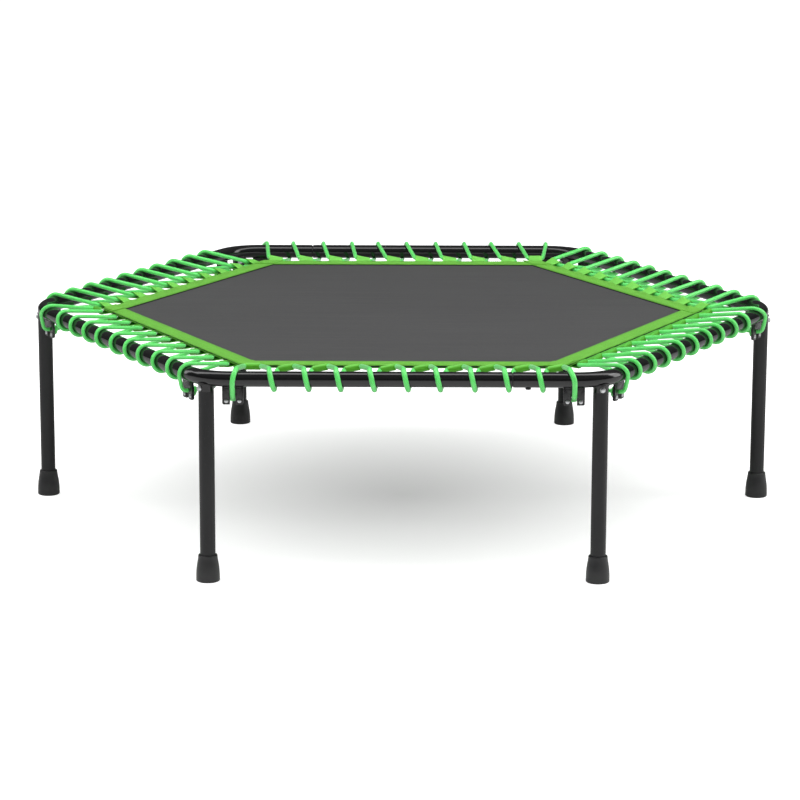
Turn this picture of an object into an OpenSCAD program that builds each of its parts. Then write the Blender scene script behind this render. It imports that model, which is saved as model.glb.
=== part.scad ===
// Hexagonal fitness trampoline on six legs, its mat hung on bungee cords.
// Millimetres, +Z up. The origin is on the floor, under the middle of the mat.
// Two of the frame's flat sides face front (-Y) and back, and two corners point along X.

/* [Frame] */
// Radius of the circle that the six legs' centrelines stand on
leg_circle_r = 627.5; // [570:0.5:720]
// Height of the frame tube's centreline above the floor
frame_height = 335; // [280:1:420]
// Outer diameter of the frame tube
tube_d = 25; // [22:0.5:30]
// Wall of the frame tube
tube_wall = 1.5; // [1.2:0.1:2.5]
// Radius of the frame's bent corners, on the tube's centreline
bend_r = 79; // [60:1:90]

/* [Frame joints] */
// Which loop each joint between the half-frames stands beside, counted from the end of the side
joint_loop = 2; // [2:1:4]
// Distance of the joint from the middle of that loop, towards the middle of the side
joint_shift = 14; // [12:0.5:18]
// Gap left between the ends of the half-frames
joint_gap = 2; // [1:0.5:4]
// Length of the sleeve inside each joint
sleeve_length = 100; // [80:1:110]
// Wall of the sleeve
sleeve_wall = 2; // [1.2:0.1:3]
// Distance of the joint screw from the joint
joint_screw_offset = 25; // [15:1:30]
// Shank diameter of the joint screw
joint_screw_d = 5; // [4:0.5:6]

/* [Legs] */
// Outer diameter of the leg tube
leg_d = 25; // [22:0.5:30]
// Wall of the leg tube
leg_wall = 1.5; // [1.2:0.1:2.5]
// How far each leg socket hangs below the frame tube
socket_drop = 8.5; // [8:0.5:20]
// Length of the leg's necked end above the socket's lower edge
neck_length = 22; // [16:0.5:24]
// Shank diameter of the bolt through the socket and the leg's neck
leg_bolt_d = 5; // [4:0.5:6]
// Turn of the leg bolts away from pointing straight out of the frame
leg_bolt_turn = -20; // [-45:5:45]

/* [Feet] */
// Height of the rubber foot
foot_height = 43.5; // [30:0.5:60]
// Diameter of the foot where it meets the floor
foot_bottom_d = 38.5; // [36:0.5:50]
// Diameter of the foot's upper rim
foot_top_d = 31; // [31:0.5:36]
// Rubber left under the end of the leg
foot_floor = 6; // [3:0.5:10]

/* [Mat] */
// Distance from the mat's outer edge to the frame tube's centreline
mat_gap = 95; // [85:1:110]
// Width of the green webbing border
border_width = 36.5; // [25:0.5:50]
// Thickness of the woven mat
fabric_thick = 1.5; // [1:0.1:3]
// Thickness of one layer of webbing
webbing_thick = 1.2; // [0.8:0.1:2]
// How far the mat reaches under the border
fabric_lap = 28; // [15:1:30]

/* [Webbing loops] */
// Number of loops on each side of the mat
loops_per_side = 10; // [6:1:11]
// Length of one loop along the cord
loop_width = 25; // [18:0.5:27]
// Distance from the border's corner to the end of the first loop
loop_margin = 12.5; // [8:0.5:30]
// Distance from the mat's edge to the axis of the cord in its loop
loop_reach = 13; // [10:0.5:18]

/* [Bungee cord] */
// Diameter of the cord
cord_d = 8.5; // [6:0.5:9]
// Room between the cord and what it passes round or through
cord_room = 0.35; // [0.3:0.05:0.6]
// Bend radius of the cord where it leaves a loop or a bracket, on its axis
cord_bend_r = 8.5; // [8:0.5:9]
// How far a strand moves along the side between its loop and the top of the tube
strand_lead = 5; // [0:0.5:8]
// Number of flat sides of the cord's section
cord_sides = 8; // [6:1:12]

/* [Cord brackets] */
// Distance of a bracket's middle from the frame's corner point, measured along the side
bracket_inset = 49; // [46:0.5:70]
// Width of the bracket plate
bracket_width = 34; // [30:0.5:40]
// Height of the bracket below the frame tube
bracket_height = 29; // [26:0.5:36]
// Thickness of the bracket plate
bracket_thick = 3; // [2:0.25:4]
// Distance from the frame tube's centreline down to the cord in the bracket's slot
slot_drop = 28.5; // [27:0.5:32]
// Distance between the two rivets of a bracket
rivet_spacing = 21; // [20:0.5:24]
// Height of the rivets above the bracket's lower edge
rivet_rise = 6; // [5:0.5:8]
// Shank diameter of a rivet
rivet_d = 4; // [3:0.5:4.5]
// Head diameter of a rivet
rivet_head_d = 6.6; // [5.5:0.1:7]
// Thickness of the keeper behind the bracket
keeper_thick = 2; // [1:0.25:3]
// Thickness of the knot's turn behind the bracket
knot_thick = 5.2; // [4:0.1:6]

/* [Hidden] */
$fn = 48;

// Sides 0 to 5 are numbered anticlockwise from the front one, and corner 0 follows side 0.
sides = [0:5];
side_angle = 60;
first_corner = -60;

// How far a cut or a filler runs past the face that it goes through
past = 1;

// Frame
tube_r = tube_d / 2;
tube_inner_r = tube_r - tube_wall;
corner_reach = leg_circle_r - bend_r + bend_r / cos(30);
apothem = corner_reach * cos(30);
side_half = corner_reach / 2;
straight_half = side_half - bend_r * tan(30);
slide_fit = 0.1;
weld_gap = 0.05;
bend_bite = 1;
bend_seam = 0.02;
sleeve_r = tube_inner_r - slide_fit;
screw_past_sleeve = 2;

// Legs and feet
leg_r = leg_d / 2;
leg_inner_r = leg_r - leg_wall;
leg_top = frame_height - tube_r - socket_drop;
neck_r = leg_inner_r - slide_fit;
neck_shoulder = 4;
bolt_height = leg_top + leg_bolt_d;
head_ratio = 1.8;
head_high = 0.6;
hex_ratio = 1.55;
nut_ratio = 1.75;
nut_high = 0.8;
washer_thick = 0.8;
hole_fit = 0.1;
foot_bore_r = leg_r + slide_fit;
foot_edge = 1;
foot_lip = 0.8;

// Mat
border_reach = apothem - mat_gap;
border_inner = border_reach - border_width;
fabric_reach = border_inner + fabric_lap;
fabric_top = fabric_thick / 2;
tail_gap = 0.5;
loop_axis = border_reach + loop_reach;
drop_steps = 12;
loop_inner_r = (cord_d / 2 + cord_room) / cos(180 / drop_steps);
loop_outer_r = loop_inner_r + webbing_thick;
border_half = border_reach * tan(30);
loop_row_half = border_half - loop_margin - loop_width / 2;
loop_pitch = 2 * loop_row_half / (loops_per_side - 1);

// Frame joints
joint_offset = loop_row_half - (joint_loop - 1) * loop_pitch - joint_shift;
joint_screw_place = joint_offset + joint_screw_offset;

// Cord: the rings round the tube stand far enough out for the flats between them to clear it
wrap_step = 34;
wrap_r = (tube_r + cord_room) / cos(wrap_step / 2) + cord_d / 2;
strand_rise = asin(wrap_r / (apothem - loop_axis));
wrap_start = 90 + strand_rise;

// Brackets
bracket_offset = side_half - bracket_inset;
bracket_top = -tube_r;
bracket_bottom = bracket_top - bracket_height;
slot_r = cord_d / 2 + cord_room;
rivet_height = bracket_bottom + rivet_rise;
keeper_above = 3;
keeper_side = 2;
keeper_top = slot_r - slot_drop + keeper_above;
back_face = bracket_thick / 2 + keeper_thick;
plate_round = 3;
knot_fit = 0.1;
knot_gap = 0.2;
knot_tail = 4;
knot_r = slot_r + knot_thick / 2 + knot_fit;
knot_back = back_face + knot_thick / 2 + knot_gap;
cord_tail = back_face + knot_thick + knot_tail;
slot_lead = 2;

// --- Helpers -----------------------------------------------------------------------------

// Turns its children from side 0 to another side
module to_side(side) {
    rotate([0, 0, side_angle * side]) children();
}

// Extrudes along side 0. Its children are drawn with x outwards and y up from the tube's axis.
module along_side(from, to) {
    translate([from, 0, frame_height])
    rotate([90, 0, 90])
    linear_extrude(to - from)
    mirror([1, 0])
    children();
}

// Extrudes outwards through side 0. Its children are drawn with x along the side and y up.
module through_side(from, to) {
    translate([0, -from, frame_height])
    rotate([90, 0, 0])
    linear_extrude(to - from)
    children();
}

// Places children on a leg's axis, with +X pointing out of the frame
module at_corner(corner) {
    rotate([0, 0, first_corner + side_angle * corner])
    translate([leg_circle_r, 0, 0])
    children();
}

// --- Frame -------------------------------------------------------------------------------

module tube_section(inset = 0) {
    difference() {
        circle(tube_r - inset);
        circle(tube_inner_r + inset);
    }
}

// Draws a section along +X
module along_x(from, to) {
    translate([from, 0, 0]) rotate([90, 0, 90]) linear_extrude(to - from) children();
}

// A bend that starts at the origin heading along +X and turns left, towards +Y
module bend() {
    translate([0, bend_r, 0])
    rotate([0, 0, -90])
    rotate_extrude(angle = side_angle)
    translate([bend_r, 0])
    children();
}

// Straight lengths joined by bends, each piece placed from the end of the one before it. The core
// of each straight's wall runs a little way into the bends, across a seam too fine to see.
module bent_tube(lengths, i = 0) {
    after_bend = i > 0 ? 1 : -1;
    before_bend = i < len(lengths) - 1 ? 1 : -1;
    along_x(max(after_bend, 0) * bend_seam, lengths[i] - max(before_bend, 0) * bend_seam) tube_section();
    along_x(-after_bend * bend_bite, lengths[i] + before_bend * bend_bite) tube_section(tube_wall / 4);
    if (i < len(lengths) - 1)
        translate([lengths[i], 0, 0]) {
            bend() tube_section();
            translate([0, bend_r, 0])
            rotate([0, 0, side_angle])
            translate([0, -bend_r, 0])
            bent_tube(lengths, i + 1);
        }
}

// One bent half: from the front joint, round three corners, to the back joint
module frame_half() {
    start = joint_offset + joint_gap / 2;
    whole = 2 * straight_half;
    difference() {
        translate([start, -apothem, frame_height])
        bent_tube([straight_half - start, whole, whole, straight_half + start - joint_gap]);
        for (corner = [0:2])
            at_corner(corner)
            translate([0, 0, frame_height - tube_d])
            cylinder(h = tube_d, r = neck_r + slide_fit);
        joint_screw_hole();
    }
}

module frame_right() {
    color("#141414") frame_half();
}

module frame_left() {
    color("#141414") rotate([0, 0, 180]) frame_half();
}

// The hole for the joint screw, from under the tube up into the sleeve
module joint_screw_hole() {
    translate([joint_screw_place, -apothem, frame_height - tube_d])
    cylinder(h = tube_d, d = joint_screw_d + hole_fit);
}

module joint_sleeves() {
    color("#2a2a2a")
    for (half = [0, 180])
        rotate([0, 0, half])
        difference() {
            along_side(joint_offset - sleeve_length / 2, joint_offset + sleeve_length / 2)
            translate([apothem, 0])
            difference() {
                circle(sleeve_r);
                circle(sleeve_r - sleeve_wall);
            }
            joint_screw_hole();
        }
}

module joint_screws() {
    head_d = joint_screw_d * head_ratio;
    head_h = joint_screw_d * head_high;
    color("#1b1b1b")
    for (half = [0, 180])
        rotate([0, 0, half])
        translate([joint_screw_place, -apothem, frame_height - tube_r]) {
            translate([0, 0, -head_h]) cylinder(h = head_h, d = head_d);
            cylinder(h = tube_wall + sleeve_wall + screw_past_sleeve, d = joint_screw_d);
        }
}

// --- Legs --------------------------------------------------------------------------------

// Draws along a leg bolt: +Z points out through the socket
module along_leg_bolt() {
    translate([0, 0, bolt_height]) rotate([0, 0, leg_bolt_turn]) rotate([0, 90, 0]) children();
}

module leg_bolt_hole() {
    along_leg_bolt() cylinder(h = 2 * leg_d, d = leg_bolt_d + hole_fit, center = true);
}

// Short collars coped to the underside of the bends
module leg_sockets() {
    color("#161616")
    for (corner = sides)
        difference() {
            at_corner(corner)
            difference() {
                translate([0, 0, leg_top]) cylinder(h = socket_drop + tube_r / 3, r = leg_r);
                translate([0, 0, leg_top - past]) cylinder(h = tube_d + socket_drop, r = neck_r + slide_fit);
                leg_bolt_hole();
            }
            to_side(corner)
            translate([straight_half, -apothem, frame_height])
            bend()
            circle(tube_r + weld_gap);
        }
}

// A tube whose upper end is necked down to go up inside the socket
module leg(corner) {
    neck_inner_r = neck_r - leg_wall;
    shoulder = leg_top - neck_shoulder;
    color("#1c1c1c")
    at_corner(corner)
    difference() {
        rotate_extrude()
        polygon([
            [leg_inner_r, foot_floor],
            [leg_r, foot_floor],
            [leg_r, leg_top],
            [neck_r, leg_top],
            [neck_r, leg_top + neck_length],
            [neck_inner_r, leg_top + neck_length],
            [neck_inner_r, leg_top],
            [leg_inner_r, shoulder]
        ]);
        leg_bolt_hole();
    }
}

module leg_front_right() leg(0);
module leg_right() leg(1);
module leg_back_right() leg(2);
module leg_back_left() leg(3);
module leg_left() leg(4);
module leg_front_left() leg(5);

module leg_bolts() {
    head_d = leg_bolt_d * head_ratio;
    color("#c9ccd0")
    for (corner = sides)
        at_corner(corner)
        along_leg_bolt() {
            translate([0, 0, leg_r]) cylinder(h = washer_thick, d = head_d);
            translate([0, 0, leg_r + washer_thick])
            cylinder(h = leg_bolt_d * head_high, d = leg_bolt_d * hex_ratio, $fn = 6);
            translate([0, 0, -leg_r - leg_bolt_d]) cylinder(h = leg_d + leg_bolt_d, d = leg_bolt_d);
        }
}

module leg_nuts() {
    color("#c9ccd0")
    for (corner = sides)
        at_corner(corner)
        along_leg_bolt()
        translate([0, 0, -leg_r - leg_bolt_d * nut_high])
        difference() {
            cylinder(h = leg_bolt_d * nut_high, d = leg_bolt_d * nut_ratio, $fn = 6);
            translate([0, 0, -past]) cylinder(h = leg_bolt_d + 2 * past, d = leg_bolt_d + hole_fit);
        }
}

// --- Feet --------------------------------------------------------------------------------

// Radius of the foot at a share of its height: upright low down, then drawn in to the rim
function foot_r(share) =
    foot_top_d / 2 + (foot_bottom_d - foot_top_d) / 4 * (1 + cos(180 * pow(share, 1.7)));

module foot(corner) {
    color("#1a1a1a")
    at_corner(corner)
    rotate_extrude()
    polygon(concat(
        [[0, 0], [foot_bottom_d / 2 - foot_edge, 0], [foot_bottom_d / 2, foot_edge]],
        [for (share = [0.1:0.1:0.9]) [foot_r(share), share * foot_height]],
        [
            [foot_top_d / 2, foot_height - foot_lip],
            [foot_top_d / 2 - foot_lip, foot_height],
            [foot_bore_r, foot_height],
            [foot_bore_r, foot_floor - slide_fit],
            [0, foot_floor - slide_fit]
        ]
    ));
}

module foot_front_right() foot(0);
module foot_right() foot(1);
module foot_back_right() foot(2);
module foot_back_left() foot(3);
module foot_left() foot(4);
module foot_front_left() foot(5);

// --- Cord brackets -----------------------------------------------------------------------

// A fork's outline: a plate with rounded feet and a round-ended slot open below
module fork(width, top) {
    difference() {
        union() {
            translate([-width / 2, bracket_bottom + plate_round])
            square([width, top - bracket_bottom - plate_round]);
            translate([-width / 2 + plate_round, bracket_bottom])
            square([width - 2 * plate_round, plate_round]);
            for (end = [-1, 1])
                translate([end * (width / 2 - plate_round), bracket_bottom + plate_round])
                circle(plate_round);
        }
        translate([0, -slot_drop]) circle(slot_r);
        translate([-slot_r, bracket_bottom - past]) square([2 * slot_r, -bracket_bottom - slot_drop + past]);
        for (end = [-1, 1])
            translate([end * rivet_spacing / 2, rivet_height])
            circle((rivet_d + hole_fit) / 2);
    }
}

module cord_brackets(side) {
    color("#171717")
    to_side(side)
    for (end = [-1, 1])
        translate([end * bracket_offset, 0])
        through_side(apothem - bracket_thick / 2, apothem + bracket_thick / 2)
        fork(bracket_width, bracket_top);
}

module cord_brackets_front() cord_brackets(0);
module cord_brackets_front_right() cord_brackets(1);
module cord_brackets_back_right() cord_brackets(2);
module cord_brackets_back() cord_brackets(3);
module cord_brackets_back_left() cord_brackets(4);
module cord_brackets_front_left() cord_brackets(5);

// Draws at every bracket on every side
module at_brackets() {
    for (side = sides, end = [-1, 1])
        to_side(side) translate([end * bracket_offset, 0]) children();
}

module bracket_keepers() {
    color("#222222")
    at_brackets()
    through_side(apothem - back_face, apothem - bracket_thick / 2)
    fork(bracket_width - 2 * keeper_side, keeper_top);
}

// A domed rivet head's outline, from its rim in to its crown
function dome(r, seat, high, rim = 0.3) = concat(
    [[r, seat]],
    [for (a = [0:22.5:67.5]) [r * cos(a), seat + high * (rim + (1 - rim) * sin(a))]]
);

// A rivet along Z through bracket and keeper, its head dimpled
module rivet() {
    head_share = 0.45;
    head_h = rivet_d * head_share;
    dimple_r = rivet_d / 5;
    face = bracket_thick / 2;
    rotate_extrude()
    polygon(concat(
        reversed(dome(rivet_head_d * head_share, -back_face, -head_h)),
        [[rivet_d / 2, -back_face], [rivet_d / 2, face]],
        dome(rivet_head_d / 2, face, head_h),
        [[dimple_r, face + head_h], [dimple_r, face + head_h / 2], [0, face + head_h / 2]],
        [[0, -back_face - head_h]]
    ));
}

module bracket_rivets() {
    color("#c4c7cb")
    at_brackets()
    for (end = [-1, 1])
        translate([end * rivet_spacing / 2, -apothem, frame_height + rivet_height])
        rotate([90, 0, 0])
        rivet();
}

// --- Bungee cords ------------------------------------------------------------------------
// A cord's route is worked out on side 0 as points [along the side, outwards, up from the tube's axis].

function loop_centre(i) = -loop_row_half + i * loop_pitch;

// Bend between a loop's end and the strand beside it. turn is 1 for the loop's far end and -1 for
// its near end, and rise is 1 for a strand over the tube and -1 for one under it.
function loop_end(centre, turn, rise) = [
    for (a = [0, 45, 90])
    [
        centre + turn * (loop_width / 2 + cord_bend_r * sin(a)),
        loop_axis + cord_bend_r * (1 - cos(a)) * cos(strand_rise),
        rise * cord_bend_r * (1 - cos(a)) * sin(strand_rise)
    ]
];

// Turns of the cord round the tube between two angles, moving along the side as it goes
function wrap(from, to, start, end, steps) = [
    for (i = [0:steps])
    let (share = i / steps, a = start + (end - start) * share)
    [from + (to - from) * share, apothem + wrap_r * cos(a), wrap_r * sin(a)]
];

// The cord comes out through a bracket's slot, bends up and meets the tube's outside.
slot_bend_out = bracket_thick / 2 + slot_lead;
slot_bend_up = cord_bend_r - slot_drop;
slot_meet = acos((wrap_r - cord_bend_r) / norm([slot_bend_out, slot_bend_up]))
    + atan2(slot_bend_up, slot_bend_out);
function bracket_end(x, top_x) = concat(
    [[x, apothem - cord_tail, -slot_drop]],
    [
        for (share = [0, 0.5, 1])
        let (a = -90 + (slot_meet + 90) * share)
        [x, apothem + slot_bend_out + cord_bend_r * cos(a), slot_bend_up + cord_bend_r * sin(a)]
    ],
    wrap(x, top_x, slot_meet, wrap_start, 4)
);

function reversed(list) = [for (i = [len(list) - 1:-1:0]) list[i]];

first_strand = loop_centre(0) - loop_width / 2 - cord_bend_r - strand_lead;
function cord_route() = concat(
    bracket_end(-bracket_offset, first_strand),
    [
        for (i = [0:loops_per_side - 1], p = concat(
            reversed(loop_end(loop_centre(i), -1, i == 0 ? 1 : -1)),
            loop_end(loop_centre(i), 1, 1),
            i == loops_per_side - 1 ? [] : wrap(
                loop_centre(i) + loop_width / 2 + cord_bend_r + strand_lead,
                loop_centre(i + 1) - loop_width / 2 - cord_bend_r,
                wrap_start, -wrap_start, 6
            )
        )) p
    ],
    reversed(bracket_end(bracket_offset, -first_strand))
);

function unit(v) = v / norm(v);
function across(v, direction) = unit(v - (v * direction) * direction);

// One polyhedron swept along the points, its rings carried on from each to the next without twist
module swept_cord(points) {
    last = len(points) - 1;
    headings = [
        for (i = [0:last])
        unit(
            (i == last ? [0, 0, 0] : unit(points[i + 1] - points[i]))
            + (i == 0 ? [0, 0, 0] : unit(points[i] - points[i - 1]))
        )
    ];
    normals = [
        for (i = 0, n = across([0, 0, 1], headings[0]); i <= last;
            i = i + 1, n = i > last ? n : across(n, headings[i])) n
    ];
    polyhedron(
        points = [
            for (i = [0:last], s = [0:cord_sides - 1])
            let (a = 360 * s / cord_sides)
            points[i] + cord_d / 2 * (cos(a) * normals[i] + sin(a) * cross(headings[i], normals[i]))
        ],
        faces = concat(
            [[for (s = [0:cord_sides - 1]) s]],
            [
                for (i = [0:last - 1], s = [0:cord_sides - 1])
                let (next = (s + 1) % cord_sides, ring = i * cord_sides, ahead = ring + cord_sides)
                [ring + s, ahead + s, ahead + next, ring + next]
            ],
            [[for (s = [cord_sides - 1:-1:0]) last * cord_sides + s]]
        )
    );
}

module bungee_cord(side) {
    route = [for (p = cord_route()) [p.x, -p.y, frame_height + p.z]];
    color("#2fce55") to_side(side) swept_cord(route);
}

module bungee_cord_front() bungee_cord(0);
module bungee_cord_front_right() bungee_cord(1);
module bungee_cord_back_right() bungee_cord(2);
module bungee_cord_back() bungee_cord(3);
module bungee_cord_back_left() bungee_cord(4);
module bungee_cord_front_left() bungee_cord(5);

// The knot's turn round the end of the cord, drawn tight against the keeper
module cord_knots() {
    color("#25b849")
    at_brackets()
    translate([0, -apothem + knot_back, frame_height - slot_drop])
    rotate([90, 0, 0])
    rotate_extrude()
    translate([knot_r, 0])
    circle(knot_thick / 2);
}

// --- Mat ---------------------------------------------------------------------------------

// A hexagon whose sides stand at a distance from the middle of the mat
module hexagon(reach) {
    polygon([for (corner = sides) reach / cos(30) * [cos(side_angle * corner), sin(side_angle * corner)]]);
}

module mat_fabric() {
    color("#565656")
    translate([0, 0, frame_height - fabric_top])
    linear_extrude(fabric_thick)
    hexagon(fabric_reach);
}

// Half of the length of side 0 at a distance from the middle of the mat, up to the mitre
function mitre(reach) = reach * tan(30);

// A strip of side 0 between two distances from the middle, mitred at both corners
module mitred_strip(inner, outer) {
    polygon([
        [-mitre(outer), -outer],
        [mitre(outer), -outer],
        [mitre(inner), -inner],
        [-mitre(inner), -inner]
    ]);
}

// A webbing strip along one side, its far end lapped over the next strip
module border(side) {
    lap = border_width / cos(30);
    color("#6fc83f")
    to_side(side)
    translate([0, 0, frame_height + fabric_top]) {
        linear_extrude(webbing_thick) mitred_strip(border_inner, border_reach);
        translate([0, 0, webbing_thick])
        linear_extrude(webbing_thick)
        polygon([
            [mitre(border_reach), -border_reach],
            [mitre(border_reach) - lap, -border_reach],
            [mitre(border_inner), -border_inner],
            [mitre(border_reach) + lap / 2, -border_reach + lap * cos(30)]
        ]);
    }
}

module border_front() border(0);
module border_front_right() border(1);
module border_back_right() border(2);
module border_back() border(3);
module border_back_left() border(4);
module border_front_left() border(5);

module border_underside() {
    color("#5fb035")
    translate([0, 0, frame_height - fabric_top - webbing_thick])
    linear_extrude(webbing_thick)
    difference() {
        hexagon(border_reach);
        hexagon(border_inner);
    }
}

// A drop-shaped outline: an arc round the origin with straight flanks to a point on its inner side
module drop(r, reach) {
    turn = 360 - 2 * acos(r / reach);
    polygon(concat(
        [[-reach, 0]],
        [for (i = [0:drop_steps]) let (a = turn * (0.5 - i / drop_steps)) [r * cos(a), r * sin(a)]]
    ));
}

// The webbing goes round the cord and back between the border's two layers
module mat_loops(side) {
    tail = border_reach - fabric_reach - tail_gap;
    color("#5aa82f")
    to_side(side)
    for (i = [0:loops_per_side - 1])
        along_side(loop_centre(i) - loop_width / 2, loop_centre(i) + loop_width / 2)
        translate([loop_axis, 0]) {
            difference() {
                drop(loop_outer_r, loop_reach);
                drop(loop_inner_r, loop_reach * loop_inner_r / loop_outer_r);
            }
            translate([-loop_reach - tail, -fabric_top])
            square([tail + loop_outer_r / 2, fabric_thick]);
        }
}

module mat_loops_front() mat_loops(0);
module mat_loops_front_right() mat_loops(1);
module mat_loops_back_right() mat_loops(2);
module mat_loops_back() mat_loops(3);
module mat_loops_back_left() mat_loops(4);
module mat_loops_front_left() mat_loops(5);

// --- Assembly ----------------------------------------------------------------------------

frame_right();
frame_left();
joint_sleeves();
joint_screws();
leg_sockets();
leg_front_right();
leg_right();
leg_back_right();
leg_back_left();
leg_left();
leg_front_left();
foot_front_right();
foot_right();
foot_back_right();
foot_back_left();
foot_left();
foot_front_left();
leg_bolts();
leg_nuts();
cord_brackets_front();
cord_brackets_front_right();
cord_brackets_back_right();
cord_brackets_back();
cord_brackets_back_left();
cord_brackets_front_left();
bracket_keepers();
bracket_rivets();
bungee_cord_front();
bungee_cord_front_right();
bungee_cord_back_right();
bungee_cord_back();
bungee_cord_back_left();
bungee_cord_front_left();
cord_knots();
mat_fabric();
border_front();
border_front_right();
border_back_right();
border_back();
border_back_left();
border_front_left();
border_underside();
mat_loops_front();
mat_loops_front_right();
mat_loops_back_right();
mat_loops_back();
mat_loops_back_left();
mat_loops_front_left();
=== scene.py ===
import math
import random

import bmesh
import bpy
from mathutils import Matrix, Vector


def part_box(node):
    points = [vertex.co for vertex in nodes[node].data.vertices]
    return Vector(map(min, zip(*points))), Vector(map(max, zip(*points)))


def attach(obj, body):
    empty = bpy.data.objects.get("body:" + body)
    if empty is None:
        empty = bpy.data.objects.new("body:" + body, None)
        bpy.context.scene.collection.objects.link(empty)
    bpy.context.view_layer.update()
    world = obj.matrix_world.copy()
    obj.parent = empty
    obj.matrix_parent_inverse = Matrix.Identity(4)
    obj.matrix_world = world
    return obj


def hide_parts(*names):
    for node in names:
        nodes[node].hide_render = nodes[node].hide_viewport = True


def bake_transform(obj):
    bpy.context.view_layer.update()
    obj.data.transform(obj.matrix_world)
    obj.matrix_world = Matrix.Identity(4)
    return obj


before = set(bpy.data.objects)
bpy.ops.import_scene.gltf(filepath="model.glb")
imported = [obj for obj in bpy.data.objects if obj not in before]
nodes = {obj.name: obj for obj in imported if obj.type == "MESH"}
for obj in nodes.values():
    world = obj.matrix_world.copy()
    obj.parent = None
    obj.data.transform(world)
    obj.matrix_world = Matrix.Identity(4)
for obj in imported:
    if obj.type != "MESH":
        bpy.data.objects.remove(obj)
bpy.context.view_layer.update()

# A hexagonal fitness trampoline. Metres, +Z up. Most of it repeats on six sides, so a piece is
# made once on side 0, the front one, where x runs along the side and -y points out of the
# frame, and is then turned into place. Sides count anticlockwise, and corner 0 follows side 0.
SIDES = ["front", "front_right", "back_right", "back", "back_left", "front_left"]
CORNERS = ["front_right", "right", "back_right", "back_left", "left", "front_left"]
TURN = math.radians(60)
MM = 0.001

# --- Sizes read from the frame -----------------------------------------------------------

frame_low, frame_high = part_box("frame_right")
tube_r = (frame_high.z - frame_low.z) / 2
tube_z = frame_high.z - tube_r
apothem = frame_high.y - tube_r

leg_low, leg_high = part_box("leg_right")
leg_r = (leg_high.y - leg_low.y) / 2
leg_circle_r = (leg_low.x + leg_high.x) / 2

border_low, border_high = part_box("border_front")
border_reach = -border_low.y
border_inner = -border_high.y
fabric_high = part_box("mat_fabric")[1]
fabric_reach = fabric_high.y

loops_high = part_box("mat_loops_front")[1]
bracket_low, bracket_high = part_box("cord_brackets_front")
bracket_thick = bracket_high.y - bracket_low.y

# --- Sizes of the cord's lacing ----------------------------------------------------------

LOOPS = 10
LOOP_WIDTH = 25 * MM
# From the border's edge in the frame to the cord's axis in a loop
LOOP_REACH = 13 * MM
# The cord's diameter on each side, in the order of SIDES: it isn't the same all round
CORD_D = [d * MM for d in (8.4, 7.0, 7.2, 7.2, 7.2, 6.4)]
# Room between the cord and the tube
CORD_ROOM = 0.15 * MM
# Bend of the cord where it comes out of a bracket, on its axis
CORD_BEND = 8.5 * MM
# From a loop's end to where its strand meets the top of the tube, along the side
STRAND_LEAD = 13.2 * MM
# How far the cord moves along the side in one turn round the tube
ADVANCE = 8.5 * MM
# Bend of the cord out of a loop's end, and how far inside that end it starts
LOOP_BEND = 5 * MM
BEND_START = 3 * MM
# Slope of the cord in its loops, and how far the first loop of a side is lifted instead
LOOP_TILT = 0.2
FIRST_LIFT = 2.5 * MM
# From the tube's centreline down to the cord in a bracket's slot, and its way out of the slot
SLOT_DROP = 28.5 * MM
SLOT_LEAD = 2 * MM
# Sides where the cord goes to its first loop from under the bracket, and not over the tube, and
# its bend there
LED_UNDER = (4,)
RETURN_BEND = 11 * MM
BRACKET_WIDTH = 34 * MM
KEEPER_THICK = 2 * MM
# One layer of webbing
WEBBING = 1.2 * MM
# How much narrower than in the frame the border is drawn by its cords
SET_BACK = 5.8 * MM

strip_reach = border_reach - SET_BACK
loop_axis = border_reach + LOOP_REACH
loop_row_half = loops_high.x - LOOP_WIDTH / 2
loop_pitch = 2 * loop_row_half / (LOOPS - 1)
bracket_offset = bracket_high.x - BRACKET_WIDTH / 2
strand_rise = math.asin((tube_r + CORD_D[0] / 2) / (apothem - loop_axis))
wrap_start = math.pi / 2 + strand_rise


def wrap_radius(side):
    return tube_r + CORD_ROOM + CORD_D[side] / 2


# --- Modelling helpers -------------------------------------------------------------------

def work_on(obj):
    """Leaves obj as the only selected object, and the active one."""
    if bpy.context.object and bpy.context.object.mode != "OBJECT":
        bpy.ops.object.mode_set(mode="OBJECT")
    bpy.ops.object.select_all(action="DESELECT")
    obj.select_set(True)
    bpy.context.view_layer.objects.active = obj


def start(primitive, name, stretch=(1, 1, 1), **settings):
    """Adds a primitive by its operator, with nothing else selected, names it and stretches it."""
    bpy.ops.object.select_all(action="DESELECT")
    getattr(bpy.ops.mesh, "primitive_" + primitive + "_add")(**settings)
    obj = bpy.context.object
    obj.scale = stretch
    obj.name = name
    obj.data.name = name
    bpy.ops.object.transform_apply(location=True, rotation=True, scale=True)
    return obj


def pick(obj, test, mode="VERT"):
    """Selects in edit mode what passes a test: vertices by place, or faces by centre and normal."""
    work_on(obj)
    mesh = obj.data
    for edge in mesh.edges:
        edge.select = False
    for face in mesh.polygons:
        face.select = mode == "FACE" and test(face.center, face.normal)
    for vertex in mesh.vertices:
        vertex.select = mode == "VERT" and test(vertex.co)
    bpy.ops.object.mode_set(mode="EDIT")
    bpy.ops.mesh.select_mode(type=mode)


def done(obj):
    """Leaves edit mode."""
    if obj.mode != "OBJECT":
        bpy.ops.object.mode_set(mode="OBJECT")


def finish_with(obj, kind, **settings):
    """Adds a modifier and applies it."""
    work_on(obj)
    modifier = obj.modifiers.new(kind.lower(), kind)
    for key, value in settings.items():
        setattr(modifier, key, value)
    bpy.ops.object.modifier_apply(modifier=modifier.name)


def smooth(obj, angle=40):
    work_on(obj)
    bpy.ops.object.shade_smooth_by_angle(angle=math.radians(angle))


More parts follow.
